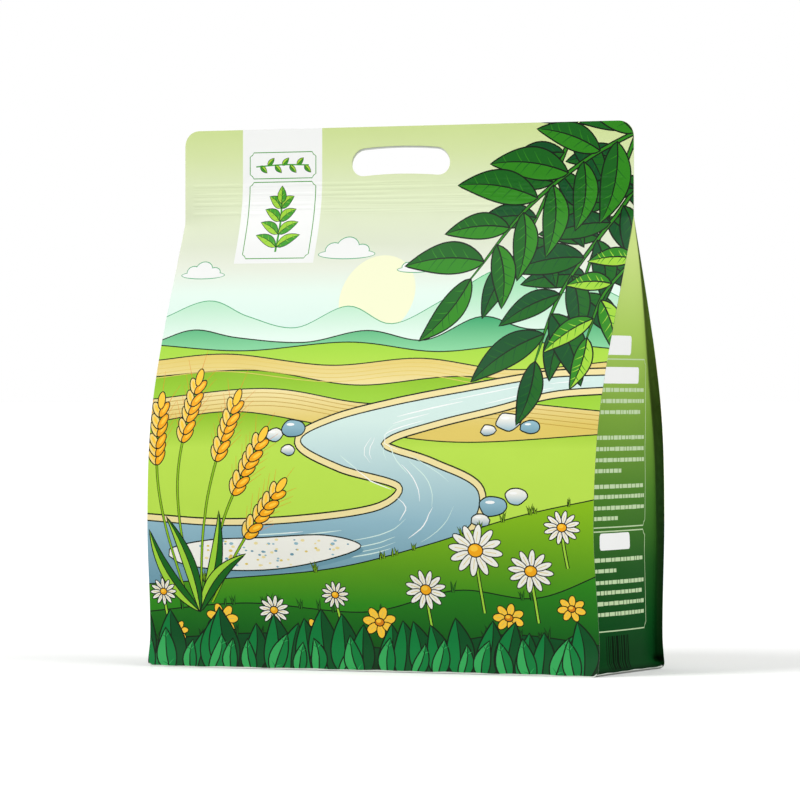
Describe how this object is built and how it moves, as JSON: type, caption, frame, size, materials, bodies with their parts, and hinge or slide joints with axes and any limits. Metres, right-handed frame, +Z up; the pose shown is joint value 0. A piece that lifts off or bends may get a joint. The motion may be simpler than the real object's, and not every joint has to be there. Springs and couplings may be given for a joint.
{
  "type": "cat litter bag",
  "caption": "Filled flat-bottom litter bag with side gussets, sealed fins, a press-to-close strip and a handle slot in its header.",
  "frame": {"origin": "middle of the base, on the floor", "axes": "+Z up to the header, +X along the bag's width to the right, -Y out of the front"},
  "size_m": [0.3, 0.1296, 0.33],
  "materials": {
    "printed_film": "printed laminated film with a satin surface, mostly greens with a pale lime header"
  },
  "bodies": {
    "root": {"bag": "printed_film"}
  },
  "joints": []
}
